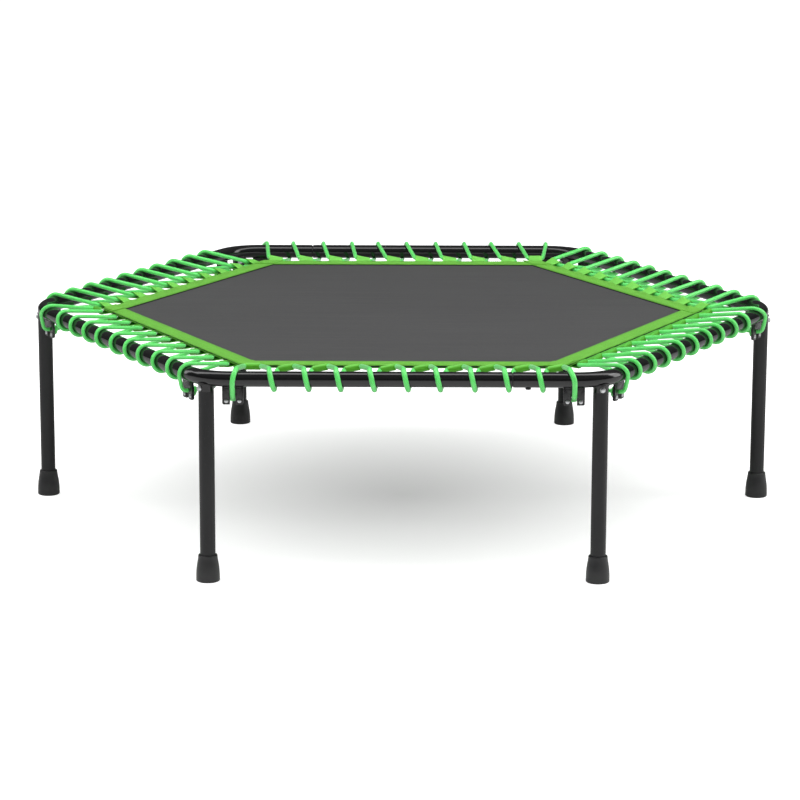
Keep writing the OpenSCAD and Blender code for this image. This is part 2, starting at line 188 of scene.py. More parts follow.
def thicken(sheet, thick, ease, segments=2):
    """Gives a flat sheet its thickness, half of it on either face, and eases its edges."""
    finish_with(sheet, "SOLIDIFY", thickness=thick, offset=0)
    finish_with(sheet, "BEVEL", width=ease, segments=segments, limit_method="ANGLE")
    smooth(sheet)


def draw_out(*move):
    """Extrudes what is selected in edit mode."""
    bpy.ops.mesh.extrude_region_move(TRANSFORM_OT_translate={"value": move})


def gathered(name, placed):
    """One new piece that holds a copy of each master's mesh at its place, with its UV map."""
    mesh = bpy.data.meshes.new(name)
    whole = bmesh.new()
    for master, place in placed:
        before = len(whole.verts)
        whole.from_mesh(master.data)
        whole.verts.ensure_lookup_table()
        bmesh.ops.transform(whole, matrix=place, verts=whole.verts[before:])
    whole.to_mesh(mesh)
    whole.free()
    obj = bpy.data.objects.new(name, mesh)
    bpy.context.scene.collection.objects.link(obj)
    return obj


def discard(*masters):
    for master in masters:
        bpy.data.objects.remove(master)


def turned(side):
    return Matrix.Rotation(TURN * side, 4, "Z")


def map_uv(obj, place_on_cloth):
    """Writes a UV map in metres: place_on_cloth gives along and across for a vertex's place."""
    layer = obj.data.uv_layers.get("cloth") or obj.data.uv_layers.new(name="cloth")
    for loop in obj.data.loops:
        layer.data[loop.index].uv = place_on_cloth(obj.data.vertices[loop.vertex_index].co)


def swept_tube(name, points, radius, sides, closed=False):
    """A tube along points, its rings carried on without twist. radius is a function of a point's
    share of the way. UV: round the tube from 0 to 1, and along it in metres."""
    count = len(points)
    mesh = bmesh.new()
    uv = mesh.loops.layers.uv.new("cloth")
    rings = []
    along = [0.0]
    normal = None
    for i, point in enumerate(points):
        ahead = points[(i + 1) % count] if closed or i < count - 1 else point
        behind = points[i - 1] if closed or i > 0 else point
        heading = (ahead - behind).normalized()
        if normal is None:
            normal = heading.orthogonal()
        normal = (normal - heading * normal.dot(heading)).normalized()
        side = heading.cross(normal)
        if i:
            along.append(along[-1] + (point - points[i - 1]).length)
        r = radius(i / (count - 1))
        rings.append([
            mesh.verts.new(point + r * (math.cos(a) * normal + math.sin(a) * side))
            for a in (math.tau * s / sides for s in range(sides))
        ])
    spans = count if closed else count - 1
    along.append(along[-1] + (points[0] - points[-1]).length)
    for i in range(spans):
        ring, ahead = rings[i], rings[(i + 1) % count]
        for s in range(sides):
            t = (s + 1) % sides
            face = mesh.faces.new((ring[s], ring[t], ahead[t], ahead[s]))
            face.smooth = True
            corners = ((s, i), (s + 1, i), (s + 1, i + 1), (s, i + 1))
            for loop, (around, step) in zip(face.loops, corners):
                loop[uv].uv = (around / sides, along[step])
    if not closed:
        for ring, way in ((rings[0], -1), (rings[-1], 1)):
            cap = mesh.faces.new(ring[::way])
            cap.smooth = True
    bmesh.ops.recalc_face_normals(mesh, faces=mesh.faces)
    data = bpy.data.meshes.new(name)
    mesh.to_mesh(data)
    mesh.free()
    obj = bpy.data.objects.new(name, data)
    bpy.context.scene.collection.objects.link(obj)
    return obj


# --- Camera ------------------------------------------------------------------------------

LENS = 145.3
# The camera's turn to the right of the front, its height over the horizon and its roll, in degrees
CAMERA_ANGLES = (-0.057, 13.151, 0.19)
CAMERA_AIM = Vector((-0.005, 0, 0.1722))
CAMERA_AWAY = 5.693


def make_camera():
    data = bpy.data.cameras.new("camera")
    data.lens = LENS
    data.sensor_width = 36
    data.clip_end = 100
    camera = bpy.data.objects.new("camera", data)
    bpy.context.scene.collection.objects.link(camera)
    azimuth, elevation, roll = (math.radians(a) for a in CAMERA_ANGLES)
    back = Vector((
        math.sin(azimuth) * math.cos(elevation),
        -math.cos(azimuth) * math.cos(elevation),
        math.sin(elevation),
    ))
    camera.location = CAMERA_AIM + back * CAMERA_AWAY
    aim = (-back).to_track_quat("-Z", "Y").to_matrix().to_4x4()
    camera.rotation_euler = (aim @ Matrix.Rotation(roll, 4, "Z")).to_euler()
    bpy.context.scene.camera = camera


make_camera()


# --- Bungee cords ------------------------------------------------------------------------
# A cord's route is worked out on side 0 as points (along the side, outwards, up from the tube).

# Distance between the points of a cord's route, and the flat sides of its section
CORD_STEP = 2.6 * MM
CORD_FACES = 14
# Room for the knot behind the keeper, and the cord's tail behind the knot
KNOT_ROOM = 8.5 * MM
TAIL = 7 * MM
# The cord's end is sealed a little thinner than the rest
SEALED = 0.86


def arc(first, last, steps):
    return [first + (last - first) * i / steps for i in range(steps + 1)]


# The lacing is drawn up by hand, so it drifts along a side: how far, in millimetres, the first and
# the last loop stand from their even places, and the first and the last strand on top of the tube.
# EVEN_DRIFT is for the sides not named. Besides, each loop and strand is off by up to SLACK.
LOOP_DRIFT = {0: (-3, 5), 3: (-13, -2)}
STRAND_DRIFT = {0: (1, -1), 1: (-13, -13), 3: (-11, -4), 5: (9, 8)}
EVEN_DRIFT = (-0.5, -0.5)
SLACK = 2.5


def even_place(i):
    return -loop_row_half + i * loop_pitch


def shifts(drifts, side, count):
    chance = random.Random(side * 31 + count)
    first, last = drifts.get(side, EVEN_DRIFT)
    return [
        (first + (last - first) * i / (count - 1) + chance.uniform(-SLACK, SLACK)) * MM
        for i in range(count)
    ]


def loop_places(side):
    return [even_place(i) + x for i, x in enumerate(shifts(LOOP_DRIFT, side, LOOPS))]


def loop_end(centre, turn, rise, tilt, lift):
    """Bend between a loop's end and the strand beside it. turn is 1 at the loop's far end and
    -1 at its near end, and rise is 1 for a strand over the tube and -1 for one under it."""
    points = []
    for a in arc(0, math.radians(80), 6):
        along = turn * (LOOP_WIDTH / 2 - BEND_START + LOOP_BEND * math.sin(a))
        out = LOOP_BEND * (1 - math.cos(a))
        up = lift + tilt * along + rise * out * math.sin(strand_rise)
        points.append(Vector((centre + along, loop_axis + out, up)))
    return points


def wrap(start_x, end_x, start_angle, end_angle, steps, r):
    """Turn of the cord round the tube, moving along the side as it goes, most in its middle."""
    turn = []
    for share in arc(0, 1, steps):
        eased_share = share * share * (3 - 2 * share)
        a = start_angle + (end_angle - start_angle) * share
        x = start_x + (end_x - start_x) * eased_share
        turn.append(Vector((x, apothem + r * math.cos(a), r * math.sin(a))))
    return turn


bend_out = bracket_thick / 2 + SLOT_LEAD
cord_tail = bracket_thick / 2 + KEEPER_THICK + KNOT_ROOM + TAIL


def bracket_bend(x, r, up, angles):
    """The cord's bend outside a bracket, its centre at a height from the tube's centreline."""
    return [Vector((x, apothem + bend_out + r * math.cos(a), up + r * math.sin(a))) for a in angles]


def bracket_end(x, top_x, wrap_r):
    """From the knot through the bracket's slot, up in a bend, and over the tube."""
    bend_up = CORD_BEND - SLOT_DROP
    meet = math.atan2(bend_up, bend_out)
    meet += math.acos((wrap_r - CORD_BEND) / math.hypot(bend_out, bend_up))
    return (
        [Vector((x, apothem - cord_tail, -SLOT_DROP))]
        + bracket_bend(x, CORD_BEND, bend_up, arc(-math.pi / 2, meet, 8))
        + wrap(x, top_x, meet, wrap_start, 10, wrap_r)
    )


def bracket_return(x):
    """From the knot through the bracket's slot, and back under the bracket."""
    bend_down = -RETURN_BEND - SLOT_DROP
    return (
        [Vector((x, apothem - cord_tail, -SLOT_DROP))]
        + bracket_bend(x, RETURN_BEND, bend_down, arc(math.pi / 2, -math.pi / 2, 10))
    )


def cord_route(side):
    """The whole lacing of one side."""
    places = loop_places(side)
    off = shifts(STRAND_DRIFT, side, LOOPS + 1)
    far = LOOP_WIDTH / 2 + STRAND_LEAD
    r = wrap_radius(side)
    if side in LED_UNDER:
        route = bracket_return(-bracket_offset)
    else:
        route = bracket_end(-bracket_offset, even_place(0) - far + off[0], r)
    for i, centre in enumerate(places):
        first = i == 0 and side not in LED_UNDER
        held = (0 if first else LOOP_TILT, FIRST_LIFT if first else 0)
        route += loop_end(centre, -1, 1 if first else -1, *held)[::-1]
        route += loop_end(centre, 1, 1, *held)
        if i < LOOPS - 1:
            start_x = even_place(i) + far + off[i + 1]
            route += wrap(start_x, start_x + ADVANCE, wrap_start, -wrap_start, 28, r)
    return route + bracket_end(bracket_offset, even_place(LOOPS - 1) + far + off[-1], r)[::-1]


def even_steps(points, step):
    """The same line with points at even steps, its corners eased."""
    line = [points[0]]
    spare = 0.0
    for a, b in zip(points, points[1:]):
        length = (b - a).length
        reach = step - spare
        while reach <= length:
            line.append(a.lerp(b, reach / length))
            reach += step
        spare = length - (reach - step)
    line.append(points[-1])
    for _ in range(2):
        line = (
            [line[0]]
            + [(line[i - 1] + 2 * line[i] + line[i + 1]) / 4 for i in range(1, len(line) - 1)]
            + [line[-1]]
        )
    return line


def on_side(route, side):
    """Points (along, outwards, up) of a route, put in the frame."""
    turn = turned(side)
    return [turn @ Vector((p.x, -p.y, tube_z + p.z)) for p in route]


def make_cord(side, name):
    points = on_side(even_steps(cord_route(side), CORD_STEP), side)
    rim = 0.5 / len(points)

    def sealed(share):
        return CORD_D[side] / 2 * (SEALED if share < rim or share > 1 - rim else 1)

    return swept_tube(name, points, sealed, CORD_FACES)


bungee_cords = [make_cord(side, "bungee_" + name) for side, name in enumerate(SIDES)]


# --- Stopper knots -----------------------------------------------------------------------

KNOT_R = 7.3 * MM
KNOT_THICK = 5.2 * MM
KNOT_GAP = 0.3 * MM
# The knot's turn, in degrees, and how far its end is led back over its start
KNOT_START = -50
KNOT_TURN = 470
KNOT_CLIMB = 5 * MM


def make_knot():
    """The cord's end hitched once round itself, behind the bracket of side 0 at x = 0."""
    seat = bracket_thick / 2 + KEEPER_THICK + KNOT_THICK / 2 + KNOT_GAP
    points = []
    for share in arc(0, 1, 64):
        angle = math.radians(KNOT_START + KNOT_TURN * share)
        r = KNOT_R * (0.5 + 0.5 * math.sin(math.pi * share) ** 0.3)
        back = seat + KNOT_CLIMB * max(0, share - 0.18) * (1.1 + 0.2 * math.sin(3 * angle))
        up = tube_z - SLOT_DROP + r * math.sin(angle)
        points.append(Vector((r * math.cos(angle), -apothem + back, up)))
    return swept_tube("stopper_knot", points, lambda share: KNOT_THICK / 2, 12)


knot = make_knot()
cord_knots = gathered("stopper_knots", [
    (knot, turned(side) @ Matrix.Translation((end * bracket_offset, 0, 0)))
    for side in range(6) for end in (-1, 1)
])
discard(knot)


# --- Mat ---------------------------------------------------------------------------------

# The sheet's thickness, how far its rim's top lies under the fabric's in the frame, how far its
# middle hangs, and the height of its ripples
MAT_THICK = 1.5 * MM
MAT_DROP = 2.2 * MM
MAT_HANG = 1.1 * MM
MAT_RIPPLE = 0.12 * MM


def make_mat():
    """The woven hexagon, drawn flat by its cords with a faint slack between them."""
    mat = start(
        "circle", "mat_sheet", vertices=6, radius=fabric_reach / math.cos(TURN / 2),
        fill_type="TRIFAN", rotation=(0, 0, TURN / 2),
    )
    pick(mat, lambda p: True)
    for _ in range(5):
        bpy.ops.mesh.subdivide(number_cuts=1)
    done(mat)
    chance = random.Random(4)
    waves = [
        (chance.uniform(6, 17), chance.uniform(0, math.tau), chance.uniform(0, math.tau))
        for _ in range(7)
    ]
    level = fabric_high.z - MAT_DROP - MAT_THICK / 2
    for vertex in mat.data.vertices:
        x, y, _ = vertex.co
        rim = max(
            abs(x * math.sin(TURN * side) + y * math.cos(TURN * side)) for side in range(3)
        ) / fabric_reach
        ripple = sum(
            math.sin(k * (x * math.cos(way) + y * math.sin(way)) + late) for k, way, late in waves
        )
        slack = 1 - min(1, rim)
        vertex.co.z = level - MAT_HANG * slack - MAT_RIPPLE * ripple * min(1, 3 * slack)
    finish_with(mat, "SOLIDIFY", thickness=MAT_THICK, offset=0)
    smooth(mat)
    map_uv(mat, lambda p: (p.x, p.y))
    return mat


mat_sheet = make_mat()


# --- Webbing border ----------------------------------------------------------------------

def mitre(reach):
    """Half of the length of a side at a distance from the middle."""
    return reach * math.tan(TURN / 2)


def cut_away(obj, point, outward):
    """Cuts off what lies on the outward side of an upright plane."""
    pick(obj, lambda p: True)
    bpy.ops.mesh.bisect(plane_co=point, plane_no=outward, clear_outer=True)
    done(obj)


# How far the border's inner and outer edges lie below its even height
INNER_DROP = 1.1 * MM
OUTER_DROP = 0.8 * MM
# How far a loop pulls the edges of the top strip and hem outwards, and the plain strip's
PULL = 0.9 * MM
PLAIN_PULL = 0.3 * MM
# How far the top strip's fold stands up at its far edge
FOLD_RISE = 1.4 * MM
# The mat's hem, and how far it shows past the top strip's inner and outer edges
HEM_THICK = 1.1 * MM
HEM_IN = 1.8 * MM
HEM_OUT = 1.2 * MM
# Room for the loops' ends between the border's layers
LOOP_LAYERS = 2.1 * MM


def drop(reach):
    """How far the border lies below its even height: the cords lift its outer edge."""
    share = (reach - border_inner) / (strip_reach - border_inner)
    return INNER_DROP + (OUTER_DROP - INNER_DROP) * min(1, max(0, share))


def make_strip(name, scallop, places, reach, inner=border_inner, thick=WEBBING):
    """A strip along side 0, mitred at its ends, from inner out to reach, with its middle at
    height 0. The cords pull its outer edge outwards at each loop."""
    width = reach - inner
    strip = start(
        "grid", name, x_subdivisions=180, y_subdivisions=8, size=1,
        location=(0, -(reach + inner) / 2, 0),
        stretch=(2.1 * mitre(reach), width, 1),
    )
    for way in (-1, 1):
        cut_away(strip, (0, 0, 0), (way * math.cos(TURN / 2), math.sin(TURN / 2), 0))
    for vertex in strip.data.vertices:
        out = max(0, (-vertex.co.y - inner) / width)
        near = min(abs(vertex.co.x - x) for x in places)
        pull = math.cos(math.tau * min(0.5, near / loop_pitch))
        vertex.co.z += scallop * (0.5 * pull * out ** 3 - 0.15) - drop(-vertex.co.y)
        vertex.co.y -= scallop * pull * out ** 2
    thicken(strip, thick, 0.35 * thick)
    map_uv(strip, lambda p: (p.x, p.y + border_reach))
    return strip


def make_fold():
    """The corner where side 0's strip folds over the next one, as a flat patch at height 0."""
    lap = (strip_reach - border_inner) / math.cos(TURN / 2)
    outer = Vector((mitre(strip_reach), -strip_reach, 0))
    inner = Vector((mitre(border_inner), -border_inner, 0))
    before = outer - Vector((lap, 0, 0))
    after = outer + Vector((lap / 2, lap * math.cos(TURN / 2), 0))
    fold = start(
        "grid", "border_fold", x_subdivisions=12, y_subdivisions=12, size=4 * lap, location=outer,
    )
    for a, b in ((outer, after), (after, inner), (inner, before), (before, outer)):
        along = b - a
        cut_away(fold, a, (along.y, -along.x, 0))
    far_edge = Vector((math.cos(TURN / 2), math.sin(TURN / 2), 0))
    for vertex in fold.data.vertices:
        past = (vertex.co - outer).dot(far_edge) / lap
        vertex.co.z += FOLD_RISE * max(0, past) ** 1.5 - drop(-vertex.co.y)
    thicken(fold, WEBBING, 0.5 * MM, 3)
    turn_back = turned(-1)
    map_uv(fold, lambda p: ((turn_back @ p).x, (turn_back @ p).y + border_reach))
    return fold


def raised(side, height):
    return turned(side) @ Matrix.Translation((0, 0, height))


fold = make_fold()
webbing_top = border_high.z - 2 * WEBBING
borders = []
for side, name in enumerate(SIDES):
    strip = make_strip("top_strip", PULL, loop_places(side), strip_reach)
    borders.append(gathered("border_strip_" + name, [
        (strip, raised(side, webbing_top + WEBBING / 2)),
        (fold, raised(side, webbing_top + 1.5 * WEBBING)),
    ]))
    discard(strip)
plain_strip = make_strip(
    "plain_strip", PLAIN_PULL, loop_places(1), strip_reach - 0.5 * MM, border_inner + 1 * MM,
)
under_z = webbing_top - HEM_THICK - LOOP_LAYERS - WEBBING / 2
border_underside = gathered("border_backing", [
    (plain_strip, raised(side, under_z)) for side in range(6)
])
# The mat's hem shows as a thin line along both edges of the top strip; its near-black colour
# is painted shade, the dark line of shade along those edges.
hem_strips = [
    make_strip(
        "hem_strip", PULL, loop_places(side),
        strip_reach + HEM_OUT, border_inner - HEM_IN, HEM_THICK,
    )
    for side in range(6)
]
border_hem = gathered("border_hem", [
    (hem, raised(side, webbing_top - HEM_THICK / 2)) for side, hem in enumerate(hem_strips)
])
discard(plain_strip, fold, *hem_strips)


# --- Webbing loops -----------------------------------------------------------------------

# A loop's two ends inside the border, where they part, and how much wider they grow there
LOOP_TAIL = 14 * MM
PARTING = 2.5 * MM
FLARE = 0.2
FLARE_REACH = 9 * MM


def make_loop(name, tilt, lift):
    """One loop of webbing round the cord of side 0 at x = 0: out from the border, round the
    cord and back, wider where it goes in between the border's layers. The cord draws its two
    ends outwards, and the strand over the tube lifts one of them."""
    r = (CORD_D[0] / 2 + CORD_ROOM) / math.cos(math.pi / 12) + WEBBING / 2
    half_gap = (LOOP_LAYERS - WEBBING) / 2
    tail_z = webbing_top - HEM_THICK - LOOP_LAYERS / 2 - OUTER_DROP - 0.1 * MM
    parting = strip_reach + PARTING
    turn = math.pi - math.acos(r / (loop_axis - parting))
    loop = start(
        "grid", name, x_subdivisions=12, y_subdivisions=6, size=1,
        location=(0, -parting + LOOP_TAIL / 2, tube_z + half_gap),
        stretch=(LOOP_WIDTH, LOOP_TAIL, 1),
    )
    pick(loop, lambda p: p.y < -parting + 0.1 * MM)
    steps = 5
    flank_y = -loop_axis - r * math.cos(turn) + parting
    flank_z = r * math.sin(turn) - half_gap
    for _ in range(steps):
        draw_out(0, flank_y / steps, flank_z / steps)
    bpy.ops.mesh.spin(steps=22, angle=-2 * turn, center=(0, -loop_axis, tube_z), axis=(1, 0, 0))
    for _ in range(steps):
        draw_out(0, -flank_y / steps, flank_z / steps)
    draw_out(0, LOOP_TAIL, 0)
    bpy.ops.mesh.select_all(action="SELECT")
    bpy.ops.mesh.remove_doubles(threshold=0.01 * MM)
    bpy.ops.mesh.normals_make_consistent(inside=False)
    done(loop)
    edge = -loop_axis - r * math.cos(turn)

    def drawn_at(y):
        return min(1, max(0, (-y - strip_reach) / (LOOP_REACH + SET_BACK)))

    def middle(y):
        return tube_z + (1 - drawn_at(y)) * (tail_z - tube_z)

    for vertex in loop.data.vertices:
        p = vertex.co
        out = -p.y - strip_reach
        drawn = drawn_at(p.y)
        past_bend = max(0, abs(p.x) - LOOP_WIDTH / 2 + BEND_START)
        p.y -= drawn * (LOOP_BEND - math.sqrt(LOOP_BEND ** 2 - past_bend ** 2))
        p.z += drawn * (tilt * p.x + lift) + (1 - drawn) * (tail_z - tube_z)
        p.x *= 1 + FLARE * min(1, max(0, 1 - out / FLARE_REACH)) ** 2
    thicken(loop, WEBBING, 0.35 * MM)

    def round_the_cord(p):
        if p.y > edge:
            return (p.x, math.copysign(r * turn + (p.y - edge), p.z - middle(p.y)))
        return (p.x, r * math.atan2(p.z - tube_z, -p.y - loop_axis))

    map_uv(loop, round_the_cord)
    return loop


tilted_loop = make_loop("tilted_loop", LOOP_TILT, 0)
first_loop = make_loop("first_loop", 0, FIRST_LIFT)
webbing_loops = []
for side, name in enumerate(SIDES):
    masters = [tilted_loop if side in LED_UNDER else first_loop] + [tilted_loop] * (LOOPS - 1)
    webbing_loops.append(gathered("webbing_loops_" + name, [
        (master, turned(side) @ Matrix.Translation((x, 0, 0)))
        for master, x in zip(masters, loop_places(side))
    ]))
discard(tilted_loop, first_loop)


# --- Steelwork: smooth copies of the frame's own solids ----------------------------------

def eased(node, name, bevel):
    """A merged copy of a CAD solid with its edges eased and its rounds smooth."""
    copy = nodes[node].copy()
    copy.data = nodes[node].data.copy()
    copy.parent = None
    for key in list(copy.keys()):
        del copy[key]
    copy.name = name
    copy.data.name = name
    copy.data.materials.clear()
    bpy.context.scene.collection.objects.link(copy)
    pick(copy, lambda p: True)
    bpy.ops.mesh.remove_doubles(threshold=0.005 * MM)
    bpy.ops.mesh.customdata_custom_splitnormals_clear()
    if bevel:
        bpy.ops.mesh.dissolve_limited(angle_limit=math.radians(1))
    done(copy)
    if bevel:
        finish_with(
            copy, "BEVEL", width=bevel, segments=2,
            limit_method="ANGLE", angle_limit=math.radians(40),
        )
    smooth(copy, 35)
    return copy


steel = {}
for node, bevel in (
    [
        ("frame_right", 0), ("frame_left", 0), ("leg_sockets", 0), ("leg_bolts", 0.25 * MM),
        ("leg_nuts", 0.2 * MM), ("bracket_rivets", 0), ("bracket_keepers", 0.3 * MM),
        ("joint_screws", 0.3 * MM), ("joint_sleeves", 0),
    ]
    + [("leg_" + name, 0) for name in CORNERS]
    + [("foot_" + name, 0.3 * MM) for name in CORNERS]
    + [("cord_brackets_" + name, 0.5 * MM) for name in SIDES]
):
    piece = eased(node, "smooth_" + node, bevel)
    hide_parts(node)
    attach(piece, "frame")
    steel[node] = piece


# --- Weld beads --------------------------------------------------------------------------

BEAD_HALF = 15.5 * MM
BEAD_R = 1.7 * MM
COLLAR_BEAD_R = 1.2 * MM
# The frame's bends at its corners, on the tube's centreline
FRAME_BEND = 79 * MM


def make_bracket_bead():
    """A rippled bead of weld along x at the origin."""
    bead = start(
        "uv_sphere", "bracket_bead", segments=10, ring_count=36, radius=1,
        rotation=(0, math.pi / 2, 0),
    )
    for vertex in bead.data.vertices:
        x, y, z = vertex.co
        spread = math.asin(max(-1, min(1, x))) / (math.pi / 2)
        ripple = 1 + 0.13 * math.sin(spread * 34)
        r = BEAD_R * ripple * min(1, 2.6 * math.cos(spread * math.pi / 2))
        girth = r / max(0.05, math.hypot(y, z))
        vertex.co = (BEAD_HALF * spread, y * girth, z * girth)
    smooth(bead, 80)
    return bead


def make_collar_bead():
    """The bead round the leg collar at corner 0, on the line where collar and bend meet. Off the
    bend's middle it grows to fill the ledge on top of the collar."""
    corner = Vector((leg_circle_r * math.cos(-TURN), leg_circle_r * math.sin(-TURN), 0))
    bend_centre = corner * (1 - FRAME_BEND / leg_circle_r)
    collar_top = tube_r * 2 / 3
    bead = start(
        "torus", "collar_bead", major_segments=120, minor_segments=8,
        major_radius=leg_r, minor_radius=COLLAR_BEAD_R, location=corner,
    )
    for vertex in bead.data.vertices:
        x, y, z = vertex.co - corner
        around = math.atan2(y, x)
        ring = Vector((math.cos(around), math.sin(around), 0))
        off = (corner + ring * leg_r - bend_centre).length - FRAME_BEND
        saddle = max(collar_top, math.sqrt(max(0, (tube_r * 1.01) ** 2 - off ** 2)))
        ledge = min(1, max(0, abs(off) / tube_r - 0.7) / 0.25)
        ripple = 1 + 0.12 * math.sin(40 * around)
        thick = (1 + 0.8 * ledge) * ripple
        radial = leg_r - 1.0 * MM * ledge + (math.hypot(x, y) - leg_r) * thick
        vertex.co = corner + ring * radial + Vector((0, 0, z * thick + tube_z - saddle))
    smooth(bead, 80)
    return bead


bracket_bead = make_bracket_bead()
collar_bead = make_collar_bead()
bead_out = bracket_thick / 2 + 0.5 * MM
bead_z = tube_z - tube_r - 0.3 * MM
weld_beads = gathered("weld_beads", [(collar_bead, turned(corner)) for corner in range(6)] + [
    (bracket_bead, turned(side) @ Matrix.Translation((x, -apothem + out, bead_z)))
    for side in range(6)
    for x in (-bracket_offset, bracket_offset)
    for out in (-bead_out, bead_out)
])
discard(bracket_bead, collar_bead)


# --- Stitching ---------------------------------------------------------------------------

THREAD_R = 0.28 * MM
STITCH_STEP = 3.6 * MM
# From the webbing's edges in to their seams, and from the outer edge to the two short seams that
# hold each loop
EDGE_SEAM = 3 * MM
LOOP_SEAMS = (8 * MM, 9.6 * MM)
LOOP_SEAM_HALF = 11 * MM


def make_stitch():
    """One stitch along x at the origin, its ends drawn down into the webbing."""
    stitch = start(
        "cylinder", "stitch", vertices=6, radius=THREAD_R, depth=1.4 * MM,
        rotation=(0, math.pi / 2, 0), end_fill_type="NGON",
    )
    for way in (-1, 1):
        pick(stitch, lambda c, n: n.x * way > 0.9, "FACE")
        draw_out(way * 0.8 * MM, 0, -THREAD_R)
        bpy.ops.transform.resize(value=(1, 0.6, 0.6))
        done(stitch)
    smooth(stitch, 60)
    return stitch


def seam(first, last, height):
    """Places for a row of stitches between two points on side 0."""
    first, last = Vector(first).to_3d(), Vector(last).to_3d()
    line = last - first
    count = int(line.length / STITCH_STEP)
    turn = Matrix.Rotation(math.atan2(line.y, line.x), 4, "Z")
    places = [first + line * ((i + 0.5) / count) for i in range(count)]
    return [Matrix.Translation(p + Vector((0, 0, height - drop(-p.y)))) @ turn for p in places]


def stitch_rows(side):
    top = webbing_top + WEBBING
    rows = []
    for reach in (strip_reach - EDGE_SEAM, border_inner + EDGE_SEAM):
        end = mitre(reach) - 22 * MM
        rows += seam((-end, -reach), (end, -reach), top)
    for middle in loop_places(side):
        for inset in LOOP_SEAMS:
            out = inset - strip_reach
            rows += seam((middle - LOOP_SEAM_HALF, out), (middle + LOOP_SEAM_HALF, out), top)
    rows += seam(
        (mitre(border_inner) + 3.4 * MM, -border_inner - EDGE_SEAM),
        (mitre(strip_reach) - 28 * MM, -strip_reach + EDGE_SEAM),
        top + WEBBING,
    )
    return rows


stitch = make_stitch()
stitching = [
    gathered("stitching_" + name, [(stitch, turned(side) @ place) for place in stitch_rows(side)])
    for side, name in enumerate(SIDES)
]
discard(stitch)


# --- Shader helpers ----------------------------------------------------------------------

def feed(tree, node, inputs):
    """Sets a node's inputs, by name or as i0, i1 ... by number. A socket is linked."""
    for key, value in inputs.items():
        number = key[0] == "i" and key[1:].isdigit()
        socket = node.inputs[int(key[1:]) if number else key.replace("_", " ")]
        if isinstance(value, bpy.types.NodeSocket):
            tree.links.new(value, socket)
        else:
            socket.default_value = value


def put(tree, kind, options=None, **inputs):
    """Adds a node with its options and inputs."""
    node = tree.nodes.new("ShaderNode" + kind)
    for key, value in (options or {}).items():
        setattr(node, key, value)
    feed(tree, node, inputs)
    return node


def math_of(tree, operation, a, b=0.0, c=0.0):
    return put(tree, "Math", {"operation": operation}, i0=a, i1=b, i2=c).outputs[0]


def blend_of(tree, amount, a, b, kind="MIX"):
    """Colour a where amount is 0 and, for the kind MIX, b where it is 1."""
    options = {"data_type": "RGBA", "blend_type": kind}
    return put(tree, "Mix", options, i0=amount, i6=a, i7=b).outputs[2]


def waves_of(tree, value):
    """A row of round humps, one to each unit."""
    sine = math_of(tree, "SINE", math_of(tree, "MULTIPLY", value, math.pi))
    return math_of(tree, "ABSOLUTE", sine)


def steps_of(tree, value):
    """A random level for each unit."""
    whole = math_of(tree, "FLOOR", value)
    return put(tree, "TexWhiteNoise", {"noise_dimensions": "1D"}, W=whole).outputs[0]


def chequer_of(tree, a, b):
    """0 and 1 by turns over the units of two values."""
    both = math_of(tree, "ADD", math_of(tree, "FLOOR", a), math_of(tree, "FLOOR", b))
    return math_of(tree, "PINGPONG", both, 1.0)


def noise_of(tree, place, scale, **more):
    return put(tree, "TexNoise", Vector=place, Scale=scale, **more).outputs[0]


def apart_of(tree, place):
    return put(tree, "SeparateXYZ", Vector=place).outputs


def cloth_map(tree):
    return put(tree, "UVMap", {"uv_map": "cloth"}).outputs[0]


def ramp_of(tree, value, stops):
    """Plain values between stops of (place, value)."""
    node = put(tree, "ValToRGB", i0=value)
    elements = node.color_ramp.elements
    while len(elements) < len(stops):
        elements.new(0.5)
    for element, (place, level) in zip(elements, stops):
        element.position = place
        element.color = (level, level, level, 1)
    return node.outputs[0]


def group(name, inputs, outputs):
    """An empty shader group: inputs are (name, kind, value), outputs are (name, kind)."""
    tree = bpy.data.node_groups.new(name, "ShaderNodeTree")
    kinds = {"value": "NodeSocketFloat", "colour": "NodeSocketColor", "vector": "NodeSocketVector"}
    for label, kind, value in inputs:
        socket = tree.interface.new_socket(label, in_out="INPUT", socket_type=kinds[kind])
        if value is not None:
            socket.default_value = value
    for label, kind in outputs:
        tree.interface.new_socket(label, in_out="OUTPUT", socket_type=kinds[kind])
    return tree, tree.nodes.new("NodeGroupInput").outputs, tree.nodes.new("NodeGroupOutput").inputs


def use_group(tree, made, **inputs):
    return put(tree, "Group", {"node_tree": made}, **inputs).outputs


def material(name):
    """A material and its tree."""
    made = bpy.data.materials.new(name)
    made.use_nodes = True
    return made, made.node_tree


def set_shader(tree, **inputs):
    feed(tree, tree.nodes["Principled BSDF"], inputs)


def bump_of(tree, height, distance, strength=1.0):
    return put(tree, "Bump", Strength=strength, Distance=distance, Height=height).outputs[0]


# --- Shared effects ----------------------------------------------------------------------

